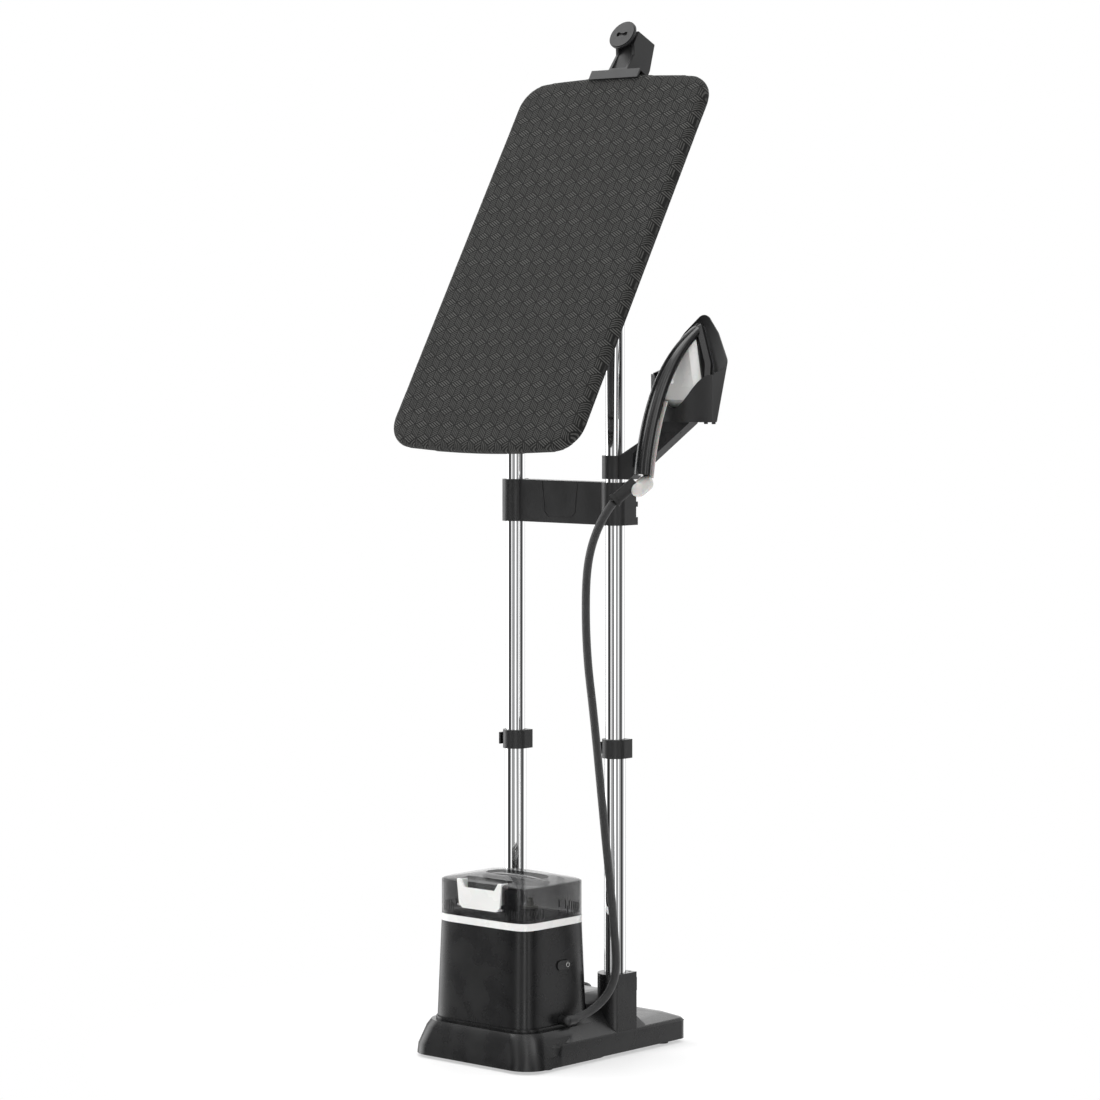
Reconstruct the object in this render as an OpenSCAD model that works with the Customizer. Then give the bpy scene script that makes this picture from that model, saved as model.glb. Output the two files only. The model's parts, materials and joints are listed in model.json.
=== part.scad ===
// Upright garment steam station: a small padded board tilts on two telescopic poles, and a base holds
// the steam generator, its lift-off water tank and the hose of the steam head.
// Millimetres. +Z is up, -Y is the user's side, and the origin is on the floor midway between the poles.

/* [Base] */
// Width of the base, across the two poles
base_w = 253.4; // [250:0.1:262]
// How far the base reaches in front of the poles
base_front = 223; // [221:1:230]
// How far the base reaches behind the poles
base_back = 147; // [140:1:160]
// Height of the rubber feet
feet_h = 6; // [4:1:8]

/* [Poles] */
// Distance between the axes of the two poles
pole_gap = 207.4; // [206:0.1:208]
// Outside radius of the lower tubes
lower_r = 17; // [17:0.1:17.2]
// Outside radius of the upper tubes
upper_r = 15; // [14.8:0.1:15]
// Wall of every tube
tube_wall = 1.2; // [1:0.1:1.2]
// Height at which the lower tubes end
lower_top = 478; // [470:1:486]
// Height of the tops of the upper tubes at full extension
upper_top = 1178; // [1176:1:1180]

/* [Board] */
// Width of the board
board_w = 393; // [380:1:400]
// How far the board reaches above the tilt axis
board_up = 347; // [340:1:352]
// How far the board reaches below the tilt axis
board_down = 338; // [320:1:340]
// Lean of the board from upright
board_lean = 30; // [20:1:35]
// Height of the tilt axis
tilt_z = 1200; // [1200:1:1202]

/* [Steam generator] */
// Half width of the generator at its top
gen_x = 94; // [90:0.5:94]
// Half depth of the generator at its top
gen_y = 73; // [70:0.5:73]
// Height of the water tank's shoulder
tank_top = 274.5; // [268:0.5:276]

/* [Steam head] */
// Lean of the steam head and its cradle from upright
head_lean = 16; // [14:1:17]
// Distance from the middle plane to the middle of the steam head
head_x = 245; // [245:0.5:248]
// Radius of the steam hose
hose_r = 6.25; // [5:0.25:7]

/* [Hidden] */
$fn = 48;
eps = 0.01;             // thickness of a slice
far = 1000;             // longer than anything it cuts
run = 0.05;             // radial clearance of a running fit
gap = 0.3;              // clearance between loose neighbours
px = pole_gap / 2;
half_w = base_w / 2;
middle = [54, -11, 0];  // middle of the floor space, seen from midway between the poles
plate_z = feet_h + 3;   // top of the base plate
skin = 3;               // wall of the moulded covers
plate_inset = skin + 1.2; // the covers lean in above the edge of the base plate

dock_z = 60;            // floor that the generator stands on
gen_mid = -123;         // middle of the generator, front to back
gen_top = 209;
band_top = 220;
wall = 2.5;             // wall of the water tank

clamp_z0 = lower_top - 22;
clamp_z1 = lower_top + 7;
bar_z0 = 815;
bar_z1 = 881;
collar_z0 = 886.5;
collar_z1 = 922.5;
mast_bottom = 380;

board_front = 51;       // tilt axis to the face of the board
board_rear = 29;        // tilt axis to the back of the board
corner = 50;            // corner radius of the board
core_inset = 9;         // the pad and the frame stop short of the cover's rounded edge
head_at = [head_x, 22, 1048];
hook_x = -5;            // middle of the hanger hook, across the board

// ---------- shared shapes ----------

function arc(c, r, a0, a1, n = 8) =
    [for (i = [0 : n]) c + r * [cos(a0 + (a1 - a0) * i / n), sin(a0 + (a1 - a0) * i / n)]];

// Outline of a rectangle with one corner radius at the front and another at the back
function plan(x, y0, y1, r0, r1) = concat(
    arc([x - r1, y1 - r1], r1, 0, 90), arc([r1 - x, y1 - r1], r1, 90, 180),
    arc([r0 - x, y0 + r0], r0, 180, 270), arc([x - r0, y0 + r0], r0, 270, 360));

// Outline of a rectangle with bowed sides and soft corners
function soft_rect(x, y, power = 7, n = 64) = [
    for (i = [0 : n - 1])
        let (c = cos(360 * (i + 0.5) / n), s = sin(360 * (i + 0.5) / n))
            [x * sign(c) * pow(abs(c), 2 / power), y * sign(s) * pow(abs(s), 2 / power)]];

// Cubic Bezier point at t
function bezier(p, t) = pow(1 - t, 3) * p[0] + 3 * t * pow(1 - t, 2) * p[1]
    + 3 * t * t * (1 - t) * p[2] + pow(t, 3) * p[3];

function unit(v) = v / norm(v);

// Points of a run of Bezier pieces, each given by four control points
function curve(pieces, steps) = concat(
    [for (p = pieces, i = [0 : steps - 1]) bezier(p, i / steps)],
    [pieces[len(pieces) - 1][3]]);

function tangent(path, i) = unit(path[min(i + 1, len(path) - 1)] - path[max(i - 1, 0)]);

// Solid swept along a path, with an elliptical section whose first axis stays level.
// The start is thinner than the rest by the share thin.
module sweep(path, level_r, other_r, sides = 16, side_dir = [1, 0, 0], thin = 0) {
    n = len(path);
    rings = [for (i = [0 : n - 1])
        let (t = tangent(path, i), v = unit(cross(side_dir, t)), u = unit(cross(t, v)),
            k = 1 - thin * pow(1 - i / (n - 1), 3))
            [for (a = [0 : 360 / sides : 359])
                path[i] + k * level_r * cos(a) * u + k * other_r * sin(a) * v]];
    sleeve = [for (i = [0 : n - 2], k = [0 : sides - 1])
        let (a = i * sides + k, b = i * sides + (k + 1) % sides)
            [[a, b, b + sides], [a, b + sides, a + sides]]];
    faces = concat([for (pair = sleeve, f = pair) f],
        [[for (k = [sides - 1 : -1 : 0]) k]],
        [[for (k = [0 : sides - 1]) (n - 1) * sides + k]]);
    polyhedron([for (ring = rings, p = ring) p], faces, convexity = 6);
}

module slice(points, z) {
    translate([0, 0, z]) linear_extrude(height = eps) polygon(points);
}

module slab(points, z0, z1) {
    translate([0, 0, z0]) linear_extrude(height = z1 - z0) polygon(points);
}

module pipe(r_out, r_in, z0, z1) {
    translate([0, 0, z0]) difference() {
        cylinder(r = r_out, h = z1 - z0);
        translate([0, 0, -1]) cylinder(r = r_in, h = z1 - z0 + 2);
    }
}

module rod_x(r, x0, x1) {
    translate([x0, 0, 0]) rotate([0, 90, 0]) cylinder(r = r, h = x1 - x0);
}

module rod_y(r, y0, y1) {
    translate([0, y1, 0]) rotate([90, 0, 0]) cylinder(r = r, h = y1 - y0);
}

module box(x0, x1, y0, y1, z0, z1) {
    translate([x0, y0, z0]) cube([x1 - x0, y1 - y0, z1 - z0]);
}

// Both poles, or one of them: side is -1 for the left and 1 for the right
module at_pole(side) {
    translate([side * px, 0, 0]) children();
}

module at_both() {
    for (side = [-1, 1]) at_pole(side) children();
}

// Frames that lean back: local Z runs up the slope, and local -Y faces the user
module on_board() {
    translate([0, 0, tilt_z]) rotate([-board_lean, 0, 0]) children();
}

module on_head() {
    translate(head_at) rotate([-head_lean, 0, 0]) children();
}

// A flat outline standing in the local XZ plane, from y0 back to y1
module standing(y0, y1) {
    translate([0, y1, 0]) rotate([90, 0, 0]) linear_extrude(height = y1 - y0) children();
}

// ---------- base ----------

// Base screws: place, and the top of the boss that takes each one
screw_at = [for (x = [-1, 1], p = [[80, -180, 58], [half_w - 14, 46, 39], [half_w - 14, 128, 39]])
    [x * p[0], p[1], p[2]]];

module socket_plan(grow) {
    intersection() {
        union() {
            circle(r = 27 + grow);
            translate([-24 - grow, 0]) square([48 + 2 * grow, 27.5 + grow]);
        }
        translate([-far / 2, -far / 2]) square([far / 2 + 20.5 + grow, far]);
    }
}

module base_skin(inset) {
    // The dock's skirt curves in from the floor outline to the rim round the generator
    hull() for (s = [[0, feet_h], [1.5, 20], [6.5, 34], [11, 47], [17, 57]])
        slice(plan(half_w - s[0] - inset, s[0] * 0.8 + inset - base_front, -38 - inset, 38, 24),
            s[1] - (s[1] > feet_h ? inset : 1));
    // The saddle between the generator and the sockets
    hull() for (s = [[2, -140, 60, 36], [22, -110, 44, 60], [36, -90, 32, 80], [60, -76, 18, 93]])
        slice(plan(half_w - s[0] - inset, s[1] + inset, s[2] - inset, 18, 12), s[3] - inset);
    // The rear deck is slightly domed
    hull() for (s = [[0, 0, 34], [4, 3, 38.5], [30, 16, 45], [66, 30, 48]])
        slice(plan(half_w - s[0] - inset, -60, base_back - s[1] - inset, 14, 12), s[2] - inset);
}

module base_cover() {
    color("#1b1b1c") difference() {
        union() {
            difference() {
                union() {
                    base_skin(0);
                    hull() for (s = [[0, feet_h], [0, 34], [2, 37.5]])
                        slice(plan(half_w - s[0], s[0] - 176, base_back - s[0], 30, 14), s[1]);
                    slab(plan(half_w - 24.7, 20 - base_front, -40, 32, 26), 50, 62);
                }
                difference() {
                    union() {
                        base_skin(skin);
                        slab(plan(half_w - skin, skin - 176, base_back - skin, 27, 11),
                            feet_h - 1, 34);
                    }
                    // Skin round each socket
                    for (side = [-1, 1]) at_pole(side) mirror([side < 0 ? 1 : 0, 0, 0])
                        translate([0, 0, plate_z + gap]) linear_extrude(height = far) socket_plan(2.4);
                }
            }
            for (p = screw_at) translate([p[0], p[1], plate_z + gap])
                cylinder(r = 5, h = p[2] - plate_z - gap);
        }
        for (p = screw_at) translate([p[0], p[1], 0]) cylinder(r = 1.5, h = 26);
        for (side = [-1, 1]) at_pole(side) mirror([side < 0 ? 1 : 0, 0, 0])
            linear_extrude(height = far) socket_plan(gap);
        translate([0, gen_mid, 0]) slab(soft_rect(gen_x + 5.5, gen_y + 5.5), dock_z, far);
        translate([cord_at[0], cord_at[1], 40]) cylinder(r = 6, h = far);
        translate([0, gen_mid, 0]) cylinder(r = 20, h = dock_z + 1);
        translate([0, lead_at[0], lead_at[1]]) rod_x(lead_r + gap, 84, lead_x);
    }
}

module base_plate() {
    color("#2a2a2b") difference() {
        slab(plan(half_w - plate_inset, plate_inset - base_front, base_back - plate_inset, 38, 12),
            feet_h, plate_z);
        for (p = screw_at) translate([p[0], p[1], 0]) cylinder(r = 1.7, h = 20);
    }
}

module base_feet() {
    color("#101010") for (x = [-1, 1], y = [-160, 112])
        translate([x * (half_w - 24), y, 0]) difference() {
            cylinder(r = 11, h = feet_h);
            translate([0, 0, -1]) cylinder(r = 4, h = 3);
        }
}

module base_screws() {
    color("#9a9a9a") for (p = screw_at) translate([p[0], p[1], 0]) {
        translate([0, 0, feet_h - 2]) cylinder(r = 3.4, h = 2);
        translate([0, 0, feet_h - 1]) cylinder(r = 1.5, h = 19);
    }
}

module socket(side) {
    top = 125;
    at_pole(side) mirror([side < 0 ? 1 : 0, 0, 0]) difference() {
        union() {
            translate([0, 0, plate_z]) linear_extrude(height = top - plate_z) socket_plan(0);
            box(10, 19.5, 27.5, 29.5, 96, 116);
        }
        translate([0, 0, 50]) cylinder(r = lower_r, h = far);
        translate([12, 21, 113]) cylinder(r = 2.5, h = far);
    }
}

module left_socket() {
    color("#232324") socket(-1);
}

module right_socket() {
    color("#232324") socket(1);
}

// ---------- poles and clamps ----------

module lower_pole(side) {
    color("#d8dade") at_pole(side) pipe(lower_r, lower_r - tube_wall, 50, lower_top);
}

module lower_left_pole() {
    lower_pole(-1);
}

module lower_right_pole() {
    lower_pole(1);
}

module pole_bushes() {
    color("#e8e8e4") at_both() pipe(lower_r - tube_wall, upper_r + run, lower_top - 40, lower_top);
}

pin_at = [-21.5, 13];

module clamp(side) {
    color("#1c1c1d") at_pole(side) difference() {
        union() {
            translate([0, 0, clamp_z0]) cylinder(r = 20, h = clamp_z1 - clamp_z0);
            box(-20, 20, 0, 18, clamp_z0, clamp_z1);
            translate([pin_at[0], pin_at[1], clamp_z0]) cylinder(r = 5, h = clamp_z1 - clamp_z0);
        }
        translate([0, 0, clamp_z0 - 1]) cylinder(r = lower_r, h = lower_top - clamp_z0 + 1);
        cylinder(r = upper_r + 2 * run, h = far);
        box(-1.5, 1.5, 10, 20, 0, far);
        box(-far, -20 + eps, -30, 30, clamp_z0 + 5, clamp_z1 - 5);
        translate([pin_at[0], pin_at[1], clamp_z0 + 5]) cylinder(r = 5.6, h = clamp_z1 - clamp_z0 - 10);
        translate([pin_at[0], pin_at[1], 0]) cylinder(r = 2, h = far);
    }
}

module left_clamp() {
    clamp(-1);
}

module right_clamp() {
    clamp(1);
}

module clamp_pins() {
    color("#b9bbbf") at_both() translate([pin_at[0], pin_at[1], clamp_z0])
        cylinder(r = 2, h = clamp_z1 - clamp_z0);
}

module clamp_lever(side) {
    color("#262627") at_pole(side) difference() {
        union() {
            translate([pin_at[0], pin_at[1], clamp_z0 + 5 + gap])
                cylinder(r = 4.6, h = clamp_z1 - clamp_z0 - 10 - 2 * gap);
            box(-24, -20.6, -13, 13, clamp_z0 + 5 + gap, clamp_z1 - 5 - gap);
        }
        translate([pin_at[0], pin_at[1], 0]) cylinder(r = 2 + run, h = far);
    }
}

module left_clamp_lever() {
    clamp_lever(-1);
}

module right_clamp_lever() {
    clamp_lever(1);
}

module upper_pole(side) {
    color("#d8dade") at_pole(side) pipe(upper_r, upper_r - tube_wall, mast_bottom, upper_top);
}

module upper_left_pole() {
    upper_pole(-1);
}

module upper_right_pole() {
    upper_pole(1);
}

module pole_plugs() {
    color("#e8e8e4") at_both() {
        translate([0, 0, mast_bottom - 8]) cylinder(r = lower_r - tube_wall - 2 * run, h = 8);
        translate([0, 0, mast_bottom - 1]) cylinder(r = upper_r - tube_wall, h = 21);
    }
}

// ---------- generator ----------

button_at = [gen_mid + 12, 150];
lead_at = [-120, 68];
lead_r = 6.9;           // barrel of the hose connector

module gen_body(inset, z0, z1) {
    translate([0, gen_mid, 0]) hull() {
        slice(soft_rect(gen_x + 5 - inset, gen_y + 5 - inset), z0);
        slice(soft_rect(gen_x - inset, gen_y - inset), z1 - eps);
    }
}

module pill(length, r) {
    union() {
        translate([-length / 2, 0]) circle(r = r);
        translate([length / 2, 0]) circle(r = r);
        square([length, 2 * r], center = true);
    }
}

module generator_housing() {
    color("#1d1d1e") difference() {
        gen_body(0, dock_z, gen_top);
        gen_body(skin, dock_z + skin, gen_top + 0.1);
        translate([0, button_at[0], button_at[1]]) rotate([90, 0, 90])
            linear_extrude(height = far) pill(16, 7.8);
        translate([0, lead_at[0], lead_at[1]]) rod_x(7, 80, far);
        translate([0, gen_mid, 0]) cylinder(r = 10, h = dock_z + skin + 1);
    }
}

module trim_band() {
    color("#f2f2f0") translate([0, gen_mid, 0]) difference() {
        slab(soft_rect(gen_x + 0.3, gen_y + 0.3), gen_top, band_top);
        slab(soft_rect(gen_x - 3.5, gen_y - 3.5), gen_top - 1, band_top + 1);
    }
}

valve_y = -80;

module tank_tray() {
    color("#202021") difference() {
        translate([0, gen_mid, 0]) union() {
            slab(soft_rect(gen_x - 3.5 - gap, gen_y - 3.5 - gap), gen_top, band_top - 1);
            slab(soft_rect(gen_x - skin - gap, gen_y - skin - gap), gen_top - 5, gen_top);
        }
        translate([0, gen_mid, 0]) slab(soft_rect(gen_x - 7, gen_y - 7), gen_top + 1, far);
        translate([0, valve_y, 0]) cylinder(r = 11, h = far);
    }
}

module valve_seal() {
    color("#b04a2e") translate([0, valve_y, 0]) {
        pipe(11, 7, gen_top - 5, gen_top + 3);
        pipe(13.5, 7, gen_top + 1, gen_top + 3);
    }
}

module pump() {
    color("#c9b48a") translate([-48, -150, dock_z + skin]) {
        box(-22, 22, -14, 14, 0, 24);
        translate([0, 0, 12]) rod_x(11, -36, -20);
        translate([0, 0, 12]) rod_x(5, 20, 32);
    }
}

module boiler() {
    color("#b6b9bd") translate([20, -112, dock_z + skin]) {
        cylinder(r = 40, h = 70);
        translate([0, 0, 70]) cylinder(r = 12, h = 10);
        for (a = [45 : 90 : 315]) rotate(a) translate([34, 0, 68]) cylinder(r = 3, h = 8);
    }
}

module control_board() {
    color("#2f6b3a") {
        box(-84, -82, -150, -88, 96, 186);
        box(-82, -70, -140, -126, 110, 130);
        box(-82, -74, -116, -96, 140, 160);
    }
}

module power_button() {
    color("#1a1a1b") translate([gen_x - 2, button_at[0], button_at[1]]) rotate([90, 0, 90]) {
        linear_extrude(height = 6) pill(16, 7.4);
        translate([0, 0, -4]) linear_extrude(height = 4) pill(14, 5);
    }
}

// The connector turns the hose through a right angle beside the generator
lead_x = 112;

module hose_connector() {
    color("#202021") translate([0, lead_at[0], lead_at[1]]) difference() {
        union() {
            rod_x(lead_r, 84, lead_x);
            translate([lead_x, 0, 0]) sphere(r = 8.5);
            translate([lead_x, 0, 0]) rod_y(8.5, 0, 14);
        }
        rod_x(3.5, 80, lead_x);
        translate([lead_x, 0, 0]) rod_y(hose_r, 6, 20);
    }
}

// The hose hangs from the steam head in front of the right pole and runs back to the generator.
// It is split at hose_cut, because its lower part stays with the base.
hose_cut = [183, -143, 800];
hose_a = [161.5, -122, 570];
hose_b = [152, -76, 330];
hose_c = [138.5, -36, 138];
hose_end = [lead_x, lead_at[0] + 6.2, lead_at[1]];

lower_hose_path = [
    [hose_cut, [160.5, -143, 750], [159, -136, 650], hose_a],
    [hose_a, [162, -109, 490], [156, -91, 400], hose_b],
    [hose_b, [149, -62, 265], [141.5, -43, 190], hose_c],
    [hose_c, [135, -33, 98], [lead_x, -60, lead_at[1]], hose_end]
];

upper_hose_path = [
    [[216, -133, 859], [204, -139, 848], [188.4, -143, 812], hose_cut + [0.6, 0, 1.4]]
];

module lower_hose() {
    color("#1f1f20") sweep(curve(lower_hose_path, 14), hose_r, hose_r, 14, [0.3, 0.9, 0.3]);
}

cord_r = 3.2;
coil_r = 30;
coil_at = [-76, 100, 51.8];
coil_pitch = 7.4;
coil_end = 840;         // angle at which the last turn ends
cord_at = coil_at + [coil_r, -28, 0];

function on_coil(a) = coil_at + [coil_r * cos(a), coil_r * sin(a), coil_pitch * a / 360];

module cord_grommet() {
    color("#151515") translate([cord_at[0], cord_at[1], 0]) difference() {
        union() {
            translate([0, 0, 42]) cylinder(r = 5.9, h = 7);
            translate([0, 0, 48.6]) cylinder(r = 8, h = 2.4);
        }
        cylinder(r = cord_r + 0.1, h = 60);
    }
}

module mains_cord() {
    foot = [cord_at[0], cord_at[1], 43];
    rise = [foot + [0, 0, 9.5], foot + [0, 0, 16], on_coil(0) + [0, -12, 1.5], on_coil(0)];
    plug_at = coil_at + [-22, 0, 15.2];
    tail = [on_coil(coil_end), on_coil(coil_end) + 16 * [-sin(coil_end), cos(coil_end), 0.1],
        plug_at - [12, 0, 0], plug_at + [2, 0, 0]];
    turns = [for (a = [0 : 15 : coil_end - 1]) on_coil(a)];
    color("#1a1a1a") {
        sweep(concat([foot], [for (i = [0 : 7]) bezier(rise, i / 8)], turns,
            [for (i = [0 : 8]) bezier(tail, i / 8)]), cord_r, cord_r, 10, [1, 0.05, 0.1]);
        translate(plug_at) {
            rod_x(8, 0, 8);
            rod_x(15, 8, 30);
            for (z = [-7, 7]) translate([0, 0, z]) rod_x(2.3, 29, 47);
        }
    }
}

// ---------- water tank ----------

flap_w = 47;            // half width of the filler flap at its top
flap_z0 = 232;
flap_pivot = [-193.5, 237];
flap_pin_end = flap_w + wall / 2;
grip_at = [7, -118];    // middle of the carrying grip

// Recess in the front of the tank that the filler flap closes
module flap_recess(grow) {
    box(-flap_w - grow, flap_w + grow, -210, -168 + grow, flap_z0 - grow, far);
}

module grip_recess(grow) {
    translate([grip_at[0], grip_at[1], 0]) slab(soft_rect(56 + grow, 24 + grow, 3), 248 - grow, far);
}

module water_tank() {
    color("#3a3a3c", 0.45) difference() {
        translate([0, gen_mid, 0])
            slab(soft_rect(gen_x - 0.2, gen_y - 0.2), band_top + gap, tank_top - 6);
        difference() {
            translate([0, gen_mid, 0]) slab(soft_rect(gen_x - wall, gen_y - wall), band_top + 3, far);
            flap_recess(wall);
        }
        flap_recess(0);
        at_flap_pin() rod_x(1.5, -flap_pin_end - eps, flap_pin_end + eps);
        translate([0, valve_y, 0]) cylinder(r = 9, h = 250);
    }
}

module tank_lid() {
    color("#2b2b2d", 0.7) difference() {
        translate([0, gen_mid, 0]) hull() {
            slice(soft_rect(gen_x - 0.2, gen_y - 0.2), tank_top - 6 + gap);
            slice(soft_rect(gen_x - 0.2, gen_y - 0.2), tank_top - 2);
            slice(soft_rect(gen_x - 4, gen_y - 4), tank_top + 0.5);
            translate([0, 10, 0]) slice(soft_rect(gen_x - 44, gen_y - 34, 4), tank_top + 6);
        }
        difference() {
            translate([0, gen_mid, 0]) slab(soft_rect(gen_x - wall, gen_y - wall), 200, tank_top - 2);
            grip_recess(wall);
        }
        grip_recess(0);
        flap_recess(0);
        for (x = [66, 74]) translate([x, -88, 0]) box(-2.6, 2.6, -1.2, 1.2, 0, far);
    }
}

module tank_handle() {
    grip_end = 62;
    color("#161617") translate([grip_at[0], grip_at[1], 0]) {
        sweep([for (i = [0 : 12]) let (t = i / 6 - 1) [grip_end * t, -3, 276 - 4 * t * t]], 4.5, 9, 16,
            [0, 0, 1]);
    }
}

module tank_valve() {
    color("#d5d5d2") translate([0, valve_y, 0]) {
        translate([0, 0, gen_top + 4]) cylinder(r = 5, h = 6);
        translate([0, 0, gen_top + 4]) cylinder(r = 3, h = 26);
        translate([0, 0, band_top + 3]) pipe(12, 3, 0, 3);
        translate([0, 0, band_top + 6]) pipe(5, 3, 0, 9);
    }
}

module at_flap_pin() {
    translate([0, flap_pivot[0], flap_pivot[1]]) children();
}

module flap_outline() {
    polygon([[-flap_w + 0.6, 45], [-flap_w + 5, 8], [-flap_w + 12, 1.6], [flap_w - 12, 1.6],
        [flap_w - 5, 8], [flap_w - 0.6, 45], [flap_w - 8, 45], [flap_w - 16, 33],
        [16 - flap_w, 33], [8 - flap_w, 45]]);
}

module fill_flap() {
    color("#f4f4f2") difference() {
        union() {
            translate([0, 0, flap_z0]) standing(-196.5, -193) flap_outline();
            for (x = [-1, 1]) translate([x * (flap_w - 5), 0, 0])
                box(-1.2, 1.2, -194, -178, flap_z0 + 12, 276);
            at_flap_pin() rod_x(3, -38, 38);
        }
        at_flap_pin() rod_x(1.5 + run, -far, far);
    }
}

module flap_pin() {
    color("#b9bbbf") at_flap_pin() rod_x(1.5, -flap_pin_end, flap_pin_end);
}

// ---------- mast ----------

module sleeve(side) {
    at_pole(side) mirror([side < 0 ? 1 : 0, 0, 0]) {
        translate([0, 0, bar_z0]) cylinder(r = 21, h = bar_z1 - bar_z0);
        difference() {
            box(0, 21, 0, 30, bar_z0, bar_z1);
            for (z = [bar_z0 + 12, bar_z1 - 30]) box(16, 30, 26, 40, z, z + 16);
        }
    }
}

module crossbar() {
    color("#242425") difference() {
        union() {
            sleeve(-1);
            sleeve(1);
            box(-px, px, -11, -7, bar_z0, bar_z1);
            for (z = [bar_z0, bar_z1 - 3]) box(-px, px, -11, 12, z, z + 3);
            for (p = crossbar_screw_at) translate([p[0], 0, p[1]]) rod_y(4, -8, 12);
        }
        at_both() cylinder(r = upper_r, h = far * 2);
        for (p = crossbar_screw_at) translate([p[0], 0, p[1]]) rod_y(1.5, 0, 20);
        translate([0, 0, bar_z0]) standing(-20, -10.4) polygon([[-38, 70], [-32, 16], [-24, 9],
            [24, 9], [32, 16], [38, 70], [36.5, 70], [30.8, 16.8], [23.4, 10.5], [-23.4, 10.5],
            [-30.8, 16.8], [-36.5, 70]]);
    }
}

crossbar_screw_at = [for (x = [-66, 66], z = [bar_z0 + 14, bar_z1 - 14]) [x, z]];

module crossbar_back() {
    color("#202021") difference() {
        box(22 - px, px - 22, 12, 15, bar_z0, bar_z1);
        for (p = crossbar_screw_at) translate([p[0], 0, p[1]]) rod_y(1.7, 0, 20);
    }
}

module crossbar_screws() {
    color("#9a9a9a") for (p = crossbar_screw_at) translate([p[0], 0, p[1]]) {
        rod_y(1.5, 2, 16);
        rod_y(3.2, 15, 17);
    }
}

cup_half = 60;          // half width of the cup
cup_front = -10;        // where the straight sides of the cup end
cup_z0 = 977;
cup_z1 = 1049;          // height of the front corners of the cup
cup_screw_x = [-30, -4];
cup_screw_y = -7;

module holder_arm() {
    color("#1e1e1f") difference() {
        union() {
            at_pole(1) translate([0, 0, collar_z0]) cylinder(r = 20, h = collar_z1 - collar_z0);
            standing(-12, 10) polygon([[px, collar_z0], [142, collar_z0], [185, 919], [260, 974],
                [262, cup_z0], [200, cup_z0], [196, 966], [158, 942], [122, collar_z1],
                [px, collar_z1]]);
        }
        standing(-20, -9) polygon([[150, 905], [182, 921], [236, 962], [204, 960], [160, 934],
            [150, 926]]);
        at_pole(1) cylinder(r = upper_r, h = far * 2);
        for (x = cup_screw_x) translate([head_x + x, cup_screw_y, 950]) cylinder(r = 1.5, h = 60);
    }
}

// Plan of the cup: straight sides, and a front that is one shallow arc
module cup_plan(inset) {
    front_r = 100;
    translate([head_x, 0]) intersection() {
        translate([0, cup_front - 20 + front_r]) circle(r = front_r - inset, $fn = 96);
        translate([inset - cup_half, cup_front - 30]) square([2 * (cup_half - inset), 90]);
    }
}

module cradle_back() {
    standing(-3, 0) hull() {
        translate([0, 80]) circle(r = 14, $fn = 32);
        for (x = [-1, 1]) {
            translate([x * 20, 56]) circle(r = 16, $fn = 32);
            translate([x * (cup_half - 16), 18]) circle(r = 16, $fn = 32);
            translate([x * (cup_half - 1), -72]) circle(r = 1, $fn = 16);
        }
    }
}

module holder_cradle() {
    // The front edge dips in the middle
    dip = [for (i = [-12 : 12]) [head_x + i * cup_half / 12, cup_z1 - 51 * pow(cos(90 * i / 12), 2)]];
    color("#1b1b1c") difference() {
        union() {
            on_head() cradle_back();
            difference() {
                translate([0, 0, cup_z0]) linear_extrude(height = 90) cup_plan(0);
                on_head() box(-far, far, -0.5, far, -far, far);
                difference() {
                    translate([0, 0, cup_z0 + 3]) linear_extrude(height = 90) cup_plan(3);
                    on_head() box(-far, far, -3, far, -far, far);
                }
                translate([0, cup_front, cup_z1]) rotate([16, 0, 0])
                    box(-far, far, -far, far, 0, far);
                standing(-far, -5) polygon(concat(dip, [[head_x + 65, 1200], [head_x - 65, 1200]]));
            }
            for (x = [40, 55]) translate([head_x + x, 0, cup_z0 - 3]) cylinder(r = 3, h = 5);
        }
        box(0, far, -far, far, 0, cup_z0 - 4);
        for (x = cup_screw_x) translate([head_x + x, cup_screw_y, 950]) cylinder(r = 1.7, h = 60);
    }
}

module holder_screws() {
    color("#9a9a9a") for (x = cup_screw_x) translate([head_x + x, cup_screw_y, 0]) {
        translate([0, 0, 962]) cylinder(r = 1.5, h = 18);
        translate([0, 0, cup_z0 + 3]) cylinder(r = 3, h = 1.6);
    }
}

// ---------- tilt hinge ----------

shaft_r = 5;

module hinge_head(side) {
    color("#1e1e1f") at_pole(side) difference() {
        union() {
            translate([0, 0, upper_top - 42]) cylinder(r = 18, h = 42 + 4);
            translate([0, 0, tilt_z]) rod_x(15, -12, 12);
            box(-12, 12, -12, 12, upper_top - 10, tilt_z);
        }
        cylinder(r = upper_r, h = upper_top);
        translate([0, 0, tilt_z]) rod_x(shaft_r + run, -far, far);
    }
}

module left_hinge_head() {
    hinge_head(-1);
}

module right_hinge_head() {
    hinge_head(1);
}

module tilt_shaft() {
    color("#c4c6ca") translate([0, 0, tilt_z]) rod_x(shaft_r, -px - 20, px + 42);
}

module tilt_knob() {
    color("#1a1a1b") translate([px + 22, 0, tilt_z]) difference() {
        union() {
            rod_x(9, 0, 5);
            rod_x(15, 5, 17);
            for (a = [0 : 45 : 315]) rotate([a + 10, 0, 0]) translate([0, 0, 14]) rod_x(2.6, 6, 16);
        }
        rod_x(shaft_r + run, -1, 30);
    }
}

// ---------- board ----------

function board_plan(inset) = plan_board(board_w / 2 - inset, -board_down + inset,
    board_up - inset, corner - inset, 7);

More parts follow.
